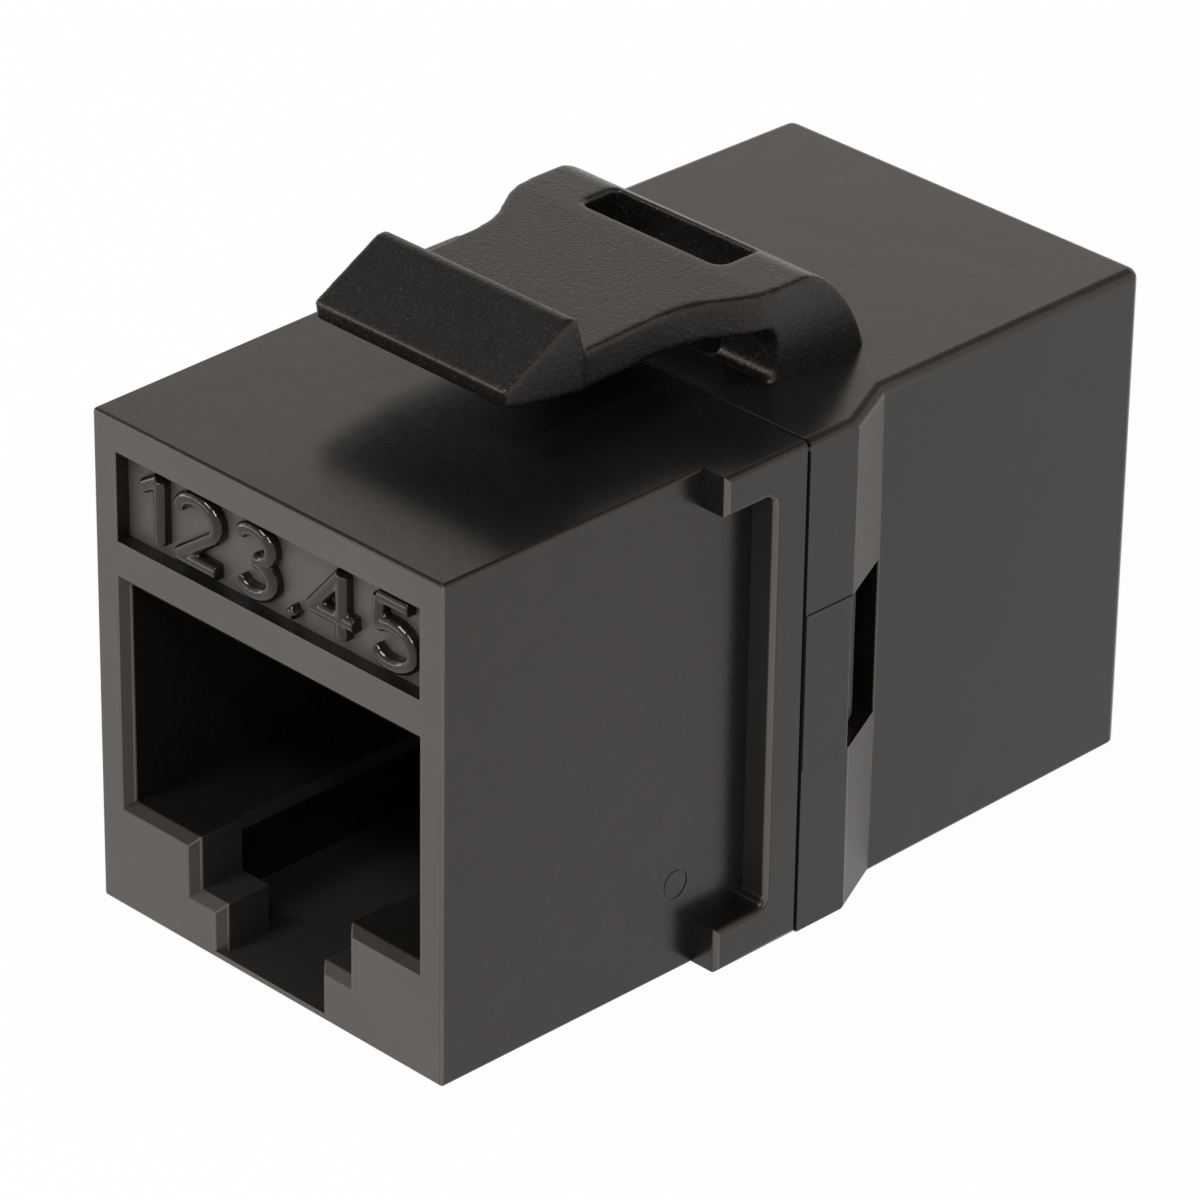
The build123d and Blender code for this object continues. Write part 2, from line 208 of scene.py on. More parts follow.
# Camera, as solved from the shell's edges in the photograph
PHOTO_PIXELS = 1200
FOCAL_PIXELS = 6942
SENSOR_MM = 36
CAMERA_TARGET = Vector((-0.713, -0.316, 7.263)) * MM
CAMERA_DISTANCE = 206.14 * MM
CAMERA_AZIMUTH = 45.03        # degrees from the front, to the right
CAMERA_ELEVATION = 28.94
CAMERA_ROLL = math.radians(0.83)


def at(x, station, height):
    """A point of the row frame, in metres."""
    return Vector((x, station + FRONT_FACE, height)) * MM


def station_of(place):
    """How far a point of the row frame lies behind the front face, in millimetres."""
    return place.y / MM - FRONT_FACE


def direction_to(azimuth, elevation):
    """Azimuth 0 is in front of the object and 90 to its right, in degrees."""
    turn, tilt = math.radians(azimuth), math.radians(elevation)
    return Vector((
        math.sin(turn) * math.cos(tilt),
        -math.cos(turn) * math.cos(tilt),
        math.sin(tilt),
    ))


# Material nodes

def new_material(name):
    """A material with its shader and its node tree."""
    material = bpy.data.materials.new(name)
    material.use_nodes = True
    tree = material.node_tree
    return material, tree.nodes["Principled BSDF"], tree


def drive(tree, shader, colour, roughness, normal):
    """Gives the shader its colour, roughness and normal from nodes."""
    tree.links.new(colour, shader.inputs["Base Color"])
    tree.links.new(roughness, shader.inputs["Roughness"])
    tree.links.new(normal, shader.inputs["Normal"])


def place_in_mm(tree):
    """Object coordinates in millimetres."""
    place = tree.nodes.new("ShaderNodeTexCoord")
    scale = tree.nodes.new("ShaderNodeVectorMath")
    scale.operation = "SCALE"
    scale.inputs["Scale"].default_value = 1 / MM
    tree.links.new(place.outputs["Object"], scale.inputs[0])
    return scale.outputs["Vector"]


def noise(tree, place, per_mm, detail=2.0, roughness=0.5):
    node = tree.nodes.new("ShaderNodeTexNoise")
    node.inputs["Scale"].default_value = per_mm
    node.inputs["Detail"].default_value = detail
    node.inputs["Roughness"].default_value = roughness
    tree.links.new(place, node.inputs["Vector"])
    return node.outputs["Fac"]


def spread(tree, value, low=0, high=1, from_low=0.3, from_high=0.7):
    """The value's usual range, mapped to a range between low and high."""
    node = tree.nodes.new("ShaderNodeMapRange")
    node.inputs["From Min"].default_value = from_low
    node.inputs["From Max"].default_value = from_high
    node.inputs["To Min"].default_value = low
    node.inputs["To Max"].default_value = high
    tree.links.new(value, node.inputs["Value"])
    return node.outputs["Result"]


def colour_mix(tree, value, second):
    """A mix that shows the second colour where the value is 1. Its first colour is still to be set."""
    node = tree.nodes.new("ShaderNodeMix")
    node.data_type = "RGBA"
    node.inputs["B"].default_value = (*second, 1)
    tree.links.new(value, node.inputs["Factor"])
    return node


def two_tone(tree, value, first, second):
    """The first colour where the value is 0, and the second where it is 1."""
    node = colour_mix(tree, value, second)
    node.inputs["A"].default_value = (*first, 1)
    return node.outputs["Result"]


def with_painted_glints(tree, value, under, glint_tone):
    """Another colour over the one from a node, where the value is 1: pale dots painted on as glints."""
    node = colour_mix(tree, value, glint_tone)
    tree.links.new(under, node.inputs["A"])
    return node.outputs["Result"]


def bump(tree, height, depth_mm, under=None):
    node = tree.nodes.new("ShaderNodeBump")
    node.inputs["Strength"].default_value = 1
    node.inputs["Distance"].default_value = depth_mm * MM
    tree.links.new(height, node.inputs["Height"])
    if under is not None:
        tree.links.new(under, node.inputs["Normal"])
    return node.outputs["Normal"]


def calculate(tree, operation, first, second):
    """One value worked out from two. The second may be a plain number."""
    node = tree.nodes.new("ShaderNodeMath")
    node.operation = operation
    tree.links.new(first, node.inputs[0])
    if isinstance(second, float):
        node.inputs[1].default_value = second
    else:
        tree.links.new(second, node.inputs[1])
    return node.outputs["Value"]


# Finishes

def satin_plastic(name, dark, light, roughness):
    """Smooth moulded plastic: faint flow mottling, a slow waviness and a very fine bloom."""
    material, shader, tree = new_material(name)
    shader.inputs["Specular Tint"].default_value = WARM_GLOSS
    place = place_in_mm(tree)
    mottle = noise(tree, place, per_mm=0.22, detail=4)
    bloom = noise(tree, place, per_mm=3.5, detail=5, roughness=0.6)
    ripple = noise(tree, place, per_mm=0.5, detail=1)
    fine = noise(tree, place, per_mm=11, detail=3)
    colour = two_tone(tree, spread(tree, mottle), dark, light)
    dullness = spread(tree, bloom, low=roughness - 0.03, high=roughness + 0.03)
    wave = bump(tree, ripple, depth_mm=0.012)
    drive(tree, shader, colour, dullness, bump(tree, fine, depth_mm=0.0011, under=wave))
    return material


def grained_plastic(name, dark, light, glint_tone, roughness):
    """Plastic from a spark-eroded mould: a fine even grain, with pale dots painted on its peaks as
    glints.
    """
    material, shader, tree = new_material(name)
    shader.inputs["Specular Tint"].default_value = WARM_GLOSS
    shader.inputs["Specular IOR Level"].default_value = LATCH_GLOSS
    place = place_in_mm(tree)
    mottle = noise(tree, place, per_mm=0.6, detail=4)
    grain = noise(tree, place, per_mm=7.5, detail=4, roughness=0.65)
    facets = noise(tree, place, per_mm=18, detail=1)
    glint_spots = spread(tree, facets, from_low=0.66, from_high=0.76)
    base = two_tone(tree, spread(tree, mottle), dark, light)
    # The pale dots on the grain's peaks are painted glints.
    colour = with_painted_glints(tree, glint_spots, base, glint_tone)
    dullness = spread(tree, grain, low=roughness - 0.04, high=roughness + 0.06)
    coarse = bump(tree, grain, depth_mm=0.017)
    drive(tree, shader, colour, dullness, bump(tree, facets, depth_mm=0.002, under=coarse))
    return material


def gold_plating(name, dark, light):
    """Plated wire with a soft, slightly uneven shine."""
    material, shader, tree = new_material(name)
    shader.inputs["Metallic"].default_value = 1
    place = place_in_mm(tree)
    colour = two_tone(tree, spread(tree, noise(tree, place, per_mm=1.3, detail=3)), dark, light)
    dullness = spread(tree, noise(tree, place, per_mm=6, detail=4), low=0.16, high=0.3)
    drive(tree, shader, colour, dullness, bump(tree, noise(tree, place, per_mm=18), depth_mm=0.001))
    return material


def laminate(name, dark, light):
    """Solder mask over the weave of a glass-fibre board."""
    material, shader, tree = new_material(name)
    place = place_in_mm(tree)
    weave = tree.nodes.new("ShaderNodeTexBrick")
    weave.inputs["Scale"].default_value = 2.2
    weave.inputs["Mortar Size"].default_value = 0.08
    tree.links.new(place, weave.inputs["Vector"])
    colour = two_tone(tree, spread(tree, noise(tree, place, per_mm=0.8, detail=4)), dark, light)
    dullness = spread(tree, noise(tree, place, per_mm=4), low=0.25, high=0.4)
    drive(tree, shader, colour, dullness, bump(tree, weave.outputs["Fac"], depth_mm=0.006))
    return material


def studio_floor(name):
    """White ground that keeps a part of the object's shadow."""
    material, shader, tree = new_material(name)
    shader.inputs["Base Color"].default_value = FLOOR_TONE
    shader.inputs["Roughness"].default_value = 0.9
    shader.inputs["Specular IOR Level"].default_value = 0.1
    rays = tree.nodes.new("ShaderNodeLightPath").outputs
    seen = calculate(tree, "MAXIMUM", rays["Is Camera Ray"], rays["Is Glossy Ray"])
    seen = calculate(tree, "MAXIMUM", seen, rays["Is Transmission Ray"])
    white = tree.nodes.new("ShaderNodeEmission")
    white.inputs["Strength"].default_value = 1
    mix = tree.nodes.new("ShaderNodeMixShader")
    tree.links.new(calculate(tree, "MULTIPLY", seen, FLOOR_WHITE), mix.inputs["Fac"])
    tree.links.new(shader.outputs["BSDF"], mix.inputs[1])
    tree.links.new(white.outputs["Emission"], mix.inputs[2])
    tree.links.new(mix.outputs["Shader"], tree.nodes["Material Output"].inputs["Surface"])
    return material


# Mesh helpers

def add_object(name, data):
    made = bpy.data.objects.new(name, data)
    bpy.context.scene.collection.objects.link(made)
    return made


def add_piece(name, mesh, *materials):
    piece = add_object(name, mesh)
    mesh.materials.clear()
    for material in materials:
        mesh.materials.append(material)
    return piece


def mesh_from(name, shape):
    mesh = bpy.data.meshes.new(name)
    shape.to_mesh(mesh)
    shape.free()
    return mesh


def reshape(mesh, *changes):
    """Opens the mesh for editing and makes the given changes to it, one after the other."""
    shape = bmesh.new()
    shape.from_mesh(mesh)
    for change in changes:
        change(shape)
    shape.to_mesh(mesh)
    shape.free()


def finished_mesh(piece):
    """The piece's shape after its modifiers, as a mesh of its own."""
    graph = bpy.context.evaluated_depsgraph_get()
    return bpy.data.meshes.new_from_object(piece.evaluated_get(graph))


def settle(piece):
    """Makes the evaluated shape the piece's own mesh and takes its modifiers off."""
    mesh = finished_mesh(piece)
    piece.modifiers.clear()
    piece.data = mesh


def mesh_of_curve(curve, tree=None, sizes=None):
    """The mesh that a curve makes, by itself or with a node tree whose inputs are given by name."""
    source = add_object("paths", curve)
    if tree is not None:
        nodes = source.modifiers.new("nodes", "NODES")
        nodes.node_group = tree
        for socket in tree.interface.items_tree:
            if socket.name in sizes:
                nodes[socket.identifier] = sizes[socket.name]
    mesh = finished_mesh(source)
    bpy.data.objects.remove(source)
    return mesh


def new_curve(name):
    curve = bpy.data.curves.new(name, "CURVE")
    curve.dimensions = "3D"
    return curve


def add_line(curve, places):
    """Straight runs through the given places."""
    spline = curve.splines.new("POLY")
    spline.points.add(len(places) - 1)
    for point, place in zip(spline.points, places):
        point.co = (*place, 1)


def prism(name, outline, low, high):
    """A closed solid between two copies of an outline. Each end is a function that places a corner."""
    shape = bmesh.new()
    near = [shape.verts.new(low(*corner)) for corner in outline]
    far = [shape.verts.new(high(*corner)) for corner in outline]
    shape.faces.new(near)
    shape.faces.new(list(reversed(far)))
    for index in range(len(outline)):
        after = (index + 1) % len(outline)
        shape.faces.new((near[after], near[index], far[index], far[after]))
    bmesh.ops.recalc_face_normals(shape, faces=shape.faces)
    return mesh_from(name, shape)


def arc(centre, radius, start, end, steps=8):
    """Points of an arc, with its angles in degrees."""
    points = []
    for step in range(steps + 1):
        angle = math.radians(start + (end - start) * step / steps)
        points.append((centre[0] + radius * math.cos(angle), centre[1] + radius * math.sin(angle)))
    return points


def combine(piece, other_mesh, operation):
    """Cuts the piece with another solid, or keeps what the two share."""
    tool = add_object("tool", other_mesh)
    change = piece.modifiers.new("combine", "BOOLEAN")
    change.operation = operation
    change.solver = "EXACT"
    change.object = tool
    settle(piece)
    bpy.data.objects.remove(tool)


def shade_smooth(mesh):
    for face in mesh.polygons:
        face.use_smooth = True


def even_out(piece, voxel, passes):
    """Turns the piece's overlapping or faceted solids into one skin with softened corners."""
    even = piece.modifiers.new("even", "REMESH")
    even.mode = "VOXEL"
    even.voxel_size = voxel * MM
    soften = piece.modifiers.new("soften", "SMOOTH")
    soften.factor = 0.5
    soften.iterations = passes
    settle(piece)
    shade_smooth(piece.data)


# Shell

def merged_copy(node):
    """The node's shape, open for editing, with its corners joined."""
    shape = bmesh.new()
    shape.from_mesh(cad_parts[node].data)
    bmesh.ops.remove_doubles(shape, verts=shape.verts, dist=JOINED_CORNERS * MM)
    return shape


def make_faces_whole(shape):
    """Makes one face of the triangles that lie in one plane."""
    bmesh.ops.dissolve_limit(shape, angle_limit=SAME_PLANE, verts=shape.verts, edges=shape.edges)


def join_doubled_corners(shape):
    """Takes out the faces without any area where several rounds meet in one point."""
    bmesh.ops.remove_doubles(shape, verts=shape.verts, dist=JOINED_CORNERS * MM)
    bmesh.ops.dissolve_degenerate(shape, edges=shape.edges, dist=JOINED_CORNERS * MM)


def is_flat(face):
    """True for a face that is too wide to belong to a round."""
    return 2 * face.calc_area() / face.calc_perimeter() > FLAT_WIDTH * MM


def round_share(edge):
    """How much of the full round an edge gets."""
    middle = (edge.verts[0].co + edge.verts[1].co) / 2
    station = station_of(middle)
    angle = edge.calc_face_angle(0)
    between_flats = all(is_flat(face) for face in edge.link_faces)
    corner = angle > SHARP_EDGE or (between_flats and angle > FLAT_CREASE)
    mouth = station < MOUTH_DEPTH or station > BODY_LENGTH - MOUTH_DEPTH
    off_flanges = abs(middle.x) < INNER_HALF * MM or station > BEHIND_SEAM or mouth
    room = (edge.calc_length() > SHORTEST_EDGE * MM or mouth) and middle.z > WEB_HEIGHT * MM
    on_step = any(abs(middle.z / MM - height) < ON_STEP for height in SLIDER_HEIGHTS)
    if on_step or not (corner and edge.is_convex and off_flanges and room):
        return 0
    return 1 if mouth and middle.z > RIM_HEIGHT * MM else EDGE_SHARE


def mark_edges(shape):
    """Chooses the outer edges that get a small round."""
    weight = shape.edges.layers.float.new("bevel_weight_edge")
    for edge in shape.edges:
        edge[weight] = round_share(edge)


def deepen_seam(shape):
    """Makes the groove between the halves deeper, so that it reads as a dark joint."""
    moves = {}
    for corner in shape.verts:
        if abs(station_of(corner.co) - PARTING_STATION) > ON_SEAM:
            continue
        outer = []
        for edge in corner.link_edges:
            other = edge.other_vert(corner).co
            setback = abs(station_of(other) - PARTING_STATION)
            if abs(setback - SEAM_BREAK) < ON_SEAM:
                outer.append((edge.calc_length(), other))
        if outer:
            inward = corner.co - min(outer, key=lambda found: found[0])[1]
            inward.y = 0
            if inward.length > 0:
                moves[corner] = inward.normalized() * (SEAM_DEPTH * MM)
    for corner, move in moves.items():
        corner.co += move


def take_foot_off(shape):
    """Leaves the roof closed and flat where the latch's foot stands. The latch piece has that foot."""
    above = []
    for corner in shape.verts:
        roof = ROOF_AT_PARTING - (station_of(corner.co) - PARTING_STATION) * ROOF_SLOPE
        if corner.co.z / MM > roof + ABOVE_ROOF:
            above.append(corner)
    bmesh.ops.delete(shape, geom=above, context="VERTS")
    rim = [edge for edge in shape.edges if edge.is_boundary]
    bmesh.ops.holes_fill(shape, edges=rim, sides=0)


def add_box(shape, low, high):
    """A closed box from its lowest and highest x, station and height."""
    corners = [at(x, station, height) for x in (low[0], high[0]) for station in (low[1], high[1])
               for height in (low[2], high[2])]
    verts = [shape.verts.new(corner) for corner in corners]
    for face in ((0, 1, 3, 2), (4, 6, 7, 5), (0, 4, 5, 1), (2, 3, 7, 6), (0, 2, 6, 4), (1, 5, 7, 3)):
        shape.faces.new([verts[index] for index in face])


def slider_relief():
    """Boxes that take a little off the band above and below the slider's face, on both sides."""
    shape = bmesh.new()
    low, high = SLIDER_HEIGHTS
    front, rear = PARTING_STATION - CLEAR / 2, BAND_END + CLEAR
    for side in (-1, 1):
        left, right = sorted((side * (BAND_HALF - SLIDER_STEP), side * (BAND_HALF + CLEAR)))
        for bottom, top in ((-CLEAR, low), (high, ROOF_AT_PARTING + CLEAR)):
            add_box(shape, (left, front, bottom), (right, rear, top))
    bmesh.ops.recalc_face_normals(shape, faces=shape.faces)
    return mesh_from("slider_relief", shape)


def ejector_grooves():
    """A thin ring on each side, where a pin of the mould stood."""
    shape = bmesh.new()
    station, height = EJECTOR_PLACE
    wall = SIDE_AT_FRONT + station * SIDE_SLOPE
    floor, outside = wall - EJECTOR_DEPTH, wall + CLEAR
    inner, outer = EJECTOR_RADIUS, EJECTOR_RADIUS + EJECTOR_WIDTH
    for side in (-1, 1):
        rings = []
        for radius, reach in ((inner, floor), (outer, floor), (outer, outside), (inner, outside)):
            ring = []
            for step in range(EJECTOR_STEPS):
                turn = math.tau * step / EJECTOR_STEPS
                back, up = radius * math.cos(turn), radius * math.sin(turn)
                ring.append(shape.verts.new(at(side * reach, station + back, height + up)))
            rings.append(ring)
        for near, far in zip(rings, rings[1:] + rings[:1]):
            for step in range(EJECTOR_STEPS):
                after = (step + 1) % EJECTOR_STEPS
                shape.faces.new((near[step], near[after], far[after], far[step]))
    bmesh.ops.recalc_face_normals(shape, faces=shape.faces)
    return mesh_from("ejector_grooves", shape)


def mark_matt_and_lit_faces(shape):
    """The end faces, the label recess's floor and the band's slopes are matt, with a lighter tone that is
    partly painted light. The keyways' walls and the front faces of the flanges' bars lie between that and
    the shell's satin, and are lighter by painted light too."""
    for face in shape.faces:
        middle = face.calc_center_median()
        depth = -FRONT_FACE - abs(middle.y) / MM
        outward = math.copysign(1, middle.y)
        off_middle = abs(middle.x) > INNER_HALF * MM
        on_end = face.normal.y * outward > FACING and depth < END_DEPTH
        on_slope = off_middle and BAND_SLOPE[0] < face.normal.y < BAND_SLOPE[1]
        low_enough = WEB_HEIGHT / 2 < middle.z / MM < KEYWAY_TOP
        in_keyway = abs(middle.x) < KEYWAY_HALF * MM and low_enough and depth < KEYWAY_DEPTH
        at_bar = off_middle and BAR_STATIONS[0] < station_of(middle) < BAR_STATIONS[1]
        if on_end or (on_slope and abs(face.normal.z) < UPRIGHT):
            face.material_index = MATT_AND_LIT
        elif in_keyway or (at_bar and face.normal.y < -BAR_FACING):
            face.material_index = HALF_MATT_AND_LIT


def mark_highlight_edges(shape):
    """The upright rounds on the shell's outside get a glossier finish with a lighter tone, which is a
    painted highlight.
    """
    shape.normal_update()
    for face in shape.faces:
        middle = face.calc_center_median()
        station = station_of(middle)
        x, y, z = (abs(share) for share in face.normal)
        upright = min(x, y) > HIGHLIGHT_TURN and z < HIGHLIGHT_TILT
        outside = abs(middle.x) > HIGHLIGHT_HALF * MM or min(station, BODY_LENGTH - station) < HIGHLIGHT_DEPTH
        if upright and outside and not is_flat(face):
            face.material_index = EDGE_GLOSS_AND_HIGHLIGHT


def corner_normal(face, corner, flat):
    """A flat face keeps its own normal. A round takes those of the flat faces that it runs into."""
    if flat[face]:
        return face.normal.copy()
    near = [other for other in corner.link_faces if other.normal.angle(face.normal, 0) < ROUND_REACH]
    flats = [other for other in near if flat[other]]
    if flats:
        return min(flats, key=lambda other: other.normal.angle(face.normal, 0)).normal.copy()
    return sum((other.normal for other in near), Vector()).normalized()


def flat_shading(mesh):
    """Keeps flat faces flat to the light, and lets the rounds between them run from one to the next."""
    shape = bmesh.new()
    shape.from_mesh(mesh)
    flat = {face: is_flat(face) for face in shape.faces}
    normals = [corner_normal(face, loop.vert, flat) for face in shape.faces for loop in face.loops]
    shape.free()
    shade_smooth(mesh)
    mesh.normals_split_custom_set(normals)


def break_edges(piece):
    """Small rounds on the chosen edges, with flat faces that stay flat."""
    rounds = piece.modifiers.new("rounds", "BEVEL")
    rounds.width = EDGE_BREAK * MM
    rounds.segments = ROUND_SEGMENTS
    rounds.limit_method = "WEIGHT"
    rounds.use_clamp_overlap = False
    settle(piece)
    reshape(piece.data, join_doubled_corners, mark_highlight_edges)
    flat_shading(piece.data)


def add_housing(name, node, finishes, cutter, change=None):
    """One half of the shell, made from its solid."""
    shape = merged_copy(node)
    if change is not None:
        change(shape)
    deepen_seam(shape)
    make_faces_whole(shape)
    piece = add_piece(name, mesh_from(name, shape), *finishes)
    combine(piece, cutter, "DIFFERENCE")
    reshape(piece.data, make_faces_whole, mark_matt_and_lit_faces, mark_edges)
    break_edges(piece)
    return piece


# Figures

def figure_strokes():
    """Plain figures: each with its width and its strokes, in millimetres from its lower left."""
    top = FIGURE_HEIGHT
    one = (0.5, [[(0, top - 0.42), (0.5, top)], [(0.5, top), (0.5, 0)]])
    two = (1.2, [arc((0.6, top - 0.6), 0.6, 165, -38, 12) + [(0, 0)], [(0, 0), (1.2, 0)]])
    three = (1.15, [arc((0.58, top - 0.49), 0.49, 150, -90, 12), arc((0.56, 0.55), 0.55, 90, -150, 14)])
    dot = (0.0, [[(-0.05, 0.03), (0.05, 0.03)], [(0, 0), (0, 0.1)]])
    four = (1.3, [[(0.9, 0), (0.9, top)], [(0.9, top), (0, 0.6)], [(0, 0.6), (1.3, 0.6)]])
    five = (1.15, [
        [(1.05, top), (0.15, top)],
        [(0.15, top), (0.08, 1.12)],
        arc((0.52, 0.62), 0.62, 132, -150, 14),
    ])
    return [one, two, three, dot, four, five]


def add_figures(material):
    """Raised figures with rounded strokes that grow out of the floor of the label recess."""
    curve = new_curve("label_figures")
    curve.bevel_depth = FIGURE_STROKE * MM
    curve.bevel_resolution = 5
    curve.use_fill_caps = True
    start = FIGURE_START
    for width, strokes in figure_strokes():
        for stroke in strokes:
            for station in FIGURE_STATIONS:
                add_line(curve, [
                    at(start + x * FIGURE_STRETCH, station, FIGURE_FOOT + height) for x, height in stroke
                ])
        start += width * FIGURE_STRETCH + FIGURE_GAP
    figures = add_piece("label_figures", mesh_of_curve(curve), material)
    even_out(figures, FIGURE_VOXEL, FIGURE_SMOOTHING)
    return figures


# Contacts

def wire_paths(end):
    """Two neighbouring wires as one curve: their pins are staggered."""
    curve = new_curve(f"{end}_wire_paths")
    for index, setback in enumerate((0, CONTACT_STAGGER)):
        x = (index - (CONTACT_COUNT - 1) / 2) * CONTACT_PITCH
        pin = [(station + setback, height) for station, height in CONTACT_PIN]
        places = [at(x, station, height) for station, height in (*pin, *CONTACT_SPRING)]
        if end == "rear":
            places = [Vector((-place.x, -place.y, place.z)) for place in places]
        add_line(curve, places)
    return curve


def wire_tree(material):
    """Geometry Nodes: rounds the bends, sweeps a round wire along them and repeats it across the port."""
    tree = bpy.data.node_groups.new("spring_wires", "GeometryNodeTree")
    face = tree.interface
    face.new_socket("Paths", in_out="INPUT", socket_type="NodeSocketGeometry")
    for name in ("Bend", "Wire radius", "Spacing"):
        face.new_socket(name, in_out="INPUT", socket_type="NodeSocketFloat")
    face.new_socket("Pairs", in_out="INPUT", socket_type="NodeSocketInt")
    face.new_socket("Wires", in_out="OUTPUT", socket_type="NodeSocketGeometry")

    given = tree.nodes.new("NodeGroupInput")
    bends = tree.nodes.new("GeometryNodeFilletCurve")
    bends.mode = "POLY"
    bends.inputs["Count"].default_value = 7
    ring = tree.nodes.new("GeometryNodeCurvePrimitiveCircle")
    ring.inputs["Resolution"].default_value = 14
    sweep = tree.nodes.new("GeometryNodeCurveToMesh")
    sweep.inputs["Fill Caps"].default_value = True
    step = tree.nodes.new("ShaderNodeCombineXYZ")
    places = tree.nodes.new("GeometryNodeMeshLine")
    repeat = tree.nodes.new("GeometryNodeInstanceOnPoints")
    real = tree.nodes.new("GeometryNodeRealizeInstances")
    smooth = tree.nodes.new("GeometryNodeSetShadeSmooth")
    finish = tree.nodes.new("GeometryNodeSetMaterial")
    finish.inputs["Material"].default_value = material
    result = tree.nodes.new("NodeGroupOutput")
    for source, target in (
        (given.outputs["Paths"], bends.inputs["Curve"]),
        (given.outputs["Bend"], bends.inputs["Radius"]),
        (given.outputs["Wire radius"], ring.inputs["Radius"]),
        (bends.outputs["Curve"], sweep.inputs["Curve"]),
        (ring.outputs["Curve"], sweep.inputs["Profile Curve"]),
        (given.outputs["Pairs"], places.inputs["Count"]),
        (given.outputs["Spacing"], step.inputs["X"]),
        (step.outputs["Vector"], places.inputs["Offset"]),
        (places.outputs["Mesh"], repeat.inputs["Points"]),
        (sweep.outputs["Mesh"], repeat.inputs["Instance"]),
        (repeat.outputs["Instances"], real.inputs["Geometry"]),
        (real.outputs["Geometry"], smooth.inputs["Geometry"]),
        (smooth.outputs["Geometry"], finish.inputs["Geometry"]),
        (finish.outputs["Geometry"], result.inputs["Wires"]),
    ):
        tree.links.new(source, target)
    return tree


def add_contacts(end, tree, material):
    """The eight spring wires of one port as one mesh."""
    mesh = mesh_of_curve(wire_paths(end), tree, {
        "Bend": CONTACT_BEND * MM,
        "Wire radius": CONTACT_WIRE * MM,
        "Pairs": CONTACT_COUNT // 2,
        "Spacing": (2 if end == "front" else -2) * CONTACT_PITCH * MM,
    })
    return add_piece(f"{end}_spring_wires", mesh, material)


# Latch

def bulged_line(start, end, bulge, steps=16):
    """Points of a shallow outward arch between two places."""
    chord = end - start
    outward = Vector((-chord.y, chord.x)).normalized()
    points = []
    for step in range(steps + 1):
        share = step / steps
        rise = 4 * bulge * share * (1 - share)
        points.append(start + chord * share + outward * rise)
    return points


def rounded_corner(before, corner, after, steps=6):
    """Points of a curve that leads from one place to the next and rounds the corner between them."""
    points = []
    for step in range(steps + 1):
        share = step / steps
        near = before.lerp(corner, share)
        far = corner.lerp(after, share)
        points.append(near.lerp(far, share))
    return points


def crest_and_back():
    """The rounded crest of the latch and the back of its foot, from the arm's top down to the roof."""
    crest = Vector((CREST, LATCH_TOP))
    foot = Vector((FOOT_REAR + LATCH_PROUD, FOOT_REAR_TOP))
    reach = CREST_ROUND / 2
    back = [point for point in bulged_line(crest, foot, FOOT_REAR_BULGE) if point.x > CREST + reach]
    before = Vector((CREST - reach, LATCH_TOP))
    points = rounded_corner(before, crest, back[0]) + back[1:]
    return [(point.x, point.y) for point in points]


def latch_side_outline():
    """The latch with its foot, seen from the side: stations and heights."""
    leg = LEG_FRONT - LATCH_PROUD
    outline = [TAB_NOSE, TAB_RIDGE_FRONT, TAB_RIDGE_REAR, (TAB_LIP_FOOT, LATCH_TOP - LATCH_DIP)]
    outline += [(LATCH_LEVEL, LATCH_TOP)]
    outline += crest_and_back()
    outline += [(FOOT_REAR + LATCH_PROUD, FOOT_BASE), (leg - LEG_FOOT_ROUND, FOOT_BASE)]
    outline += arc((leg - LEG_FOOT_ROUND, LEG_FOOT_TOP + LEG_FOOT_ROUND), LEG_FOOT_ROUND, -90, 0)
    outline += arc((leg - LEG_UPPER_ROUND, LATCH_UNDERSIDE - LEG_UPPER_ROUND), LEG_UPPER_ROUND, 0, 90)
    outline += [(TAB_LIP_FOOT, LATCH_UNDERSIDE - LATCH_DIP), TAB_KEEL, TAB_NOSE_FOOT]
    return outline


def latch_plan_outline():
    """The latch seen from above: half widths and stations."""
    right = [(TAB_HALF, 0.0), (TAB_HALF, TAB_LIP_FOOT - TAB_LIP_RUN), (ARM_HALF, TAB_LIP_FOOT)]
    right += [(half, station) for station, half in FLARE]
    right += [(ROOT_HALF, FOOT_REAR + CLEAR)]
    left = [(-x, station) for x, station in reversed(right)]
    return right + left


def slot_outline():
    """The slot in front of the foot's bar, with rounded corners: x and station."""
    corner_x = SLOT_HALF - SLOT_CORNER
    corner_y = SLOT_FRONT + SLOT_CORNER
    outline = arc((-corner_x, corner_y), SLOT_CORNER, 180, 270, 5)
    outline += arc((corner_x, corner_y), SLOT_CORNER, 270, 360, 5)
    outline += [(SLOT_HALF, SLOT_REAR), (-SLOT_HALF, SLOT_REAR)]
    return outline


def side_prism(name, outline, half):
    """A solid with its outline seen from the side."""
    return prism(
        name,
        outline,
        lambda station, height: at(-half, station, height),
        lambda station, height: at(half, station, height),
    )


def plan_prism(name, outline, bottom, top):
    """A solid with its outline seen from above."""
    return prism(
        name,
        outline,
        lambda x, station: at(x, station, bottom),
        lambda x, station: at(x, station, top),
    )


def add_latch(material):
    """The latch arm, its thumb tab and its foot as one smooth moulding."""
    above = TAB_RIDGE_REAR[1] + CLEAR
    side = side_prism("latch_side", latch_side_outline(), ROOT_HALF + CLEAR)
    plan = plan_prism("latch_plan", latch_plan_outline(), FOOT_BASE - CLEAR, above)
    slot = plan_prism("latch_slot", slot_outline(), FOOT_BASE - CLEAR, above)
    latch = add_piece("sprung_latch", side, material)
    combine(latch, plan, "INTERSECT")
    combine(latch, slot, "DIFFERENCE")
    even_out(latch, LATCH_VOXEL, LATCH_SMOOTHING)
    return latch


# Camera, lamps and ground

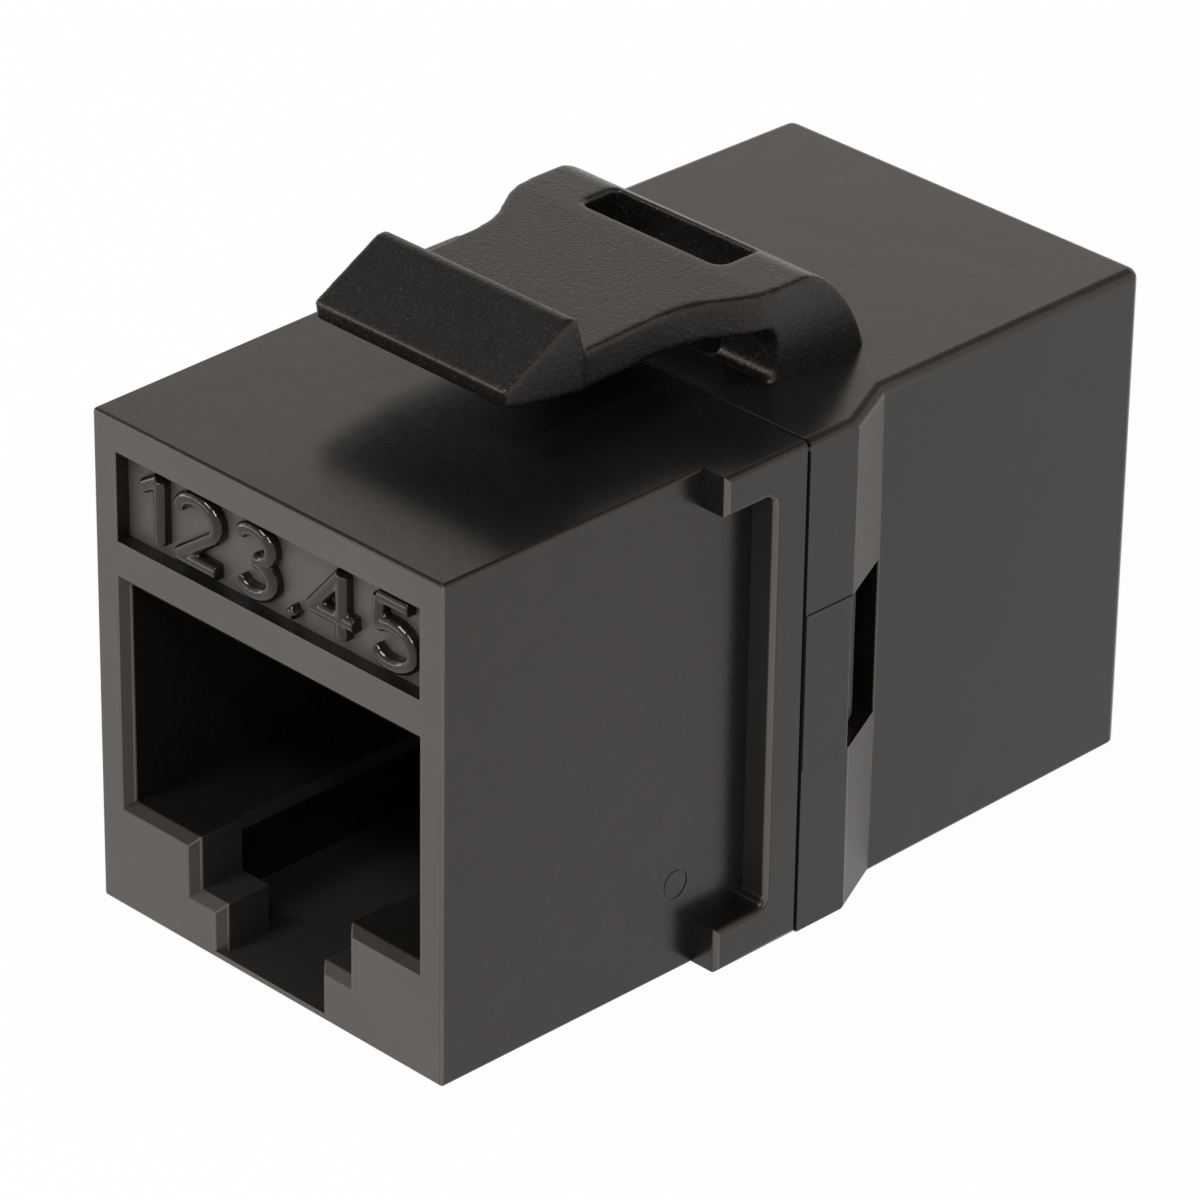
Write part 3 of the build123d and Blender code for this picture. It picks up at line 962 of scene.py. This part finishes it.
def add_camera():
    """The camera stands in front and to the right, and looks down a little."""
    back = direction_to(CAMERA_AZIMUTH, CAMERA_ELEVATION)
    right = Vector((0, 0, 1)).cross(back).normalized()
    up = back.cross(right)
    rolled_right = math.cos(CAMERA_ROLL) * right + math.sin(CAMERA_ROLL) * up
    rolled_up = math.cos(CAMERA_ROLL) * up - math.sin(CAMERA_ROLL) * right
    data = bpy.data.cameras.new("camera")
    data.sensor_width = SENSOR_MM
    data.lens = SENSOR_MM * FOCAL_PIXELS / PHOTO_PIXELS
    data.clip_start = 10 * MM
    camera = add_object("camera", data)
    turn = Matrix((rolled_right, rolled_up, back)).transposed().to_4x4()
    camera.matrix_world = Matrix.Translation(CAMERA_TARGET + back * CAMERA_DISTANCE) @ turn
    bpy.context.scene.camera = camera


def add_softbox(name, azimuth, elevation, distance, width, height, power):
    """A flat lamp that faces the object, with its sizes in metres and its power in watts."""
    direction = direction_to(azimuth, elevation)
    data = bpy.data.lights.new(name, "AREA")
    data.shape = "RECTANGLE"
    data.size = width
    data.size_y = height
    data.energy = power
    lamp = add_object(name, data)
    lamp.location = direction * distance
    lamp.rotation_euler = direction.to_track_quat("Z", "Y").to_euler()


def add_world():
    """Bright round the horizon, as over a white sweep, and dimmer above."""
    world = bpy.data.worlds.new("studio")
    world.use_nodes = True
    tree = world.node_tree
    background = tree.nodes["Background"]
    background.inputs["Color"].default_value = WORLD_TINT
    direction = tree.nodes.new("ShaderNodeTexCoord")
    split = tree.nodes.new("ShaderNodeSeparateXYZ")
    tree.links.new(direction.outputs["Generated"], split.inputs["Vector"])
    level = spread(tree, split.outputs["Z"], HORIZON_LIGHT, UPPER_LIGHT, HORIZON_TOP, UPPER_FOOT)
    tree.links.new(level, background.inputs["Strength"])
    bpy.context.scene.world = world


def add_floor():
    shape = bmesh.new()
    bmesh.ops.create_grid(shape, x_segments=1, y_segments=1, size=FLOOR_SIZE)
    floor = add_piece("floor", mesh_from("floor", shape), studio_floor("floor_white"))


bpy.context.scene.view_settings.view_transform = "Standard"
add_camera()
add_world()
add_softbox("key", azimuth=-14, elevation=55, distance=0.6, width=0.16, height=0.16, power=1.4)
add_softbox("glint", azimuth=42, elevation=47, distance=0.6, width=0.07, height=0.07, power=0.7)
add_softbox("front_left", azimuth=-46, elevation=7, distance=0.45, width=0.5, height=0.09, power=0.5)
add_floor()

SHELL_FINISHES = [satin_plastic(*tones) for tones in SHELL_TONES.values()]
LATCH = grained_plastic("latch_grain", *LATCH_TONES, LATCH_ROUGHNESS)
FIGURE = satin_plastic("figure_gloss", *FIGURE_TONES, FIGURE_ROUGHNESS)
CARRIER = satin_plastic("carrier_black", *CARRIER_TONES, CARRIER_ROUGHNESS)
BOARD = laminate("board_laminate", *BOARD_TONES)
GOLD = gold_plating("contact_gold_plate", *GOLD_TONES)

front_shell = add_housing("front_shell", "front_housing", SHELL_FINISHES, ejector_grooves())
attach(front_shell, "shell")
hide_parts("front_housing")

rear_shell = add_housing("rear_shell", "rear_housing", SHELL_FINISHES, slider_relief(), take_foot_off)
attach(rear_shell, "shell")
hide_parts("rear_housing")

latch = add_latch(LATCH)
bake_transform(latch)
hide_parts("keystone_latch")

figures = add_figures(FIGURE)
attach(figures, "shell")

WIRES = wire_tree(GOLD)
for end in ("front", "rear"):
    contacts = add_contacts(end, WIRES, GOLD)
    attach(contacts, f"{end}_contacts")
    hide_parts(*[f"{end}_contact_{number}" for number in range(1, CONTACT_COUNT + 1)])

for node, finish in (
    ("circuit_board", BOARD),
    ("front_contact_carrier", CARRIER),
    ("rear_contact_carrier", CARRIER),
):
    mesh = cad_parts[node].data
    mesh.materials.clear()
    mesh.materials.append(finish)
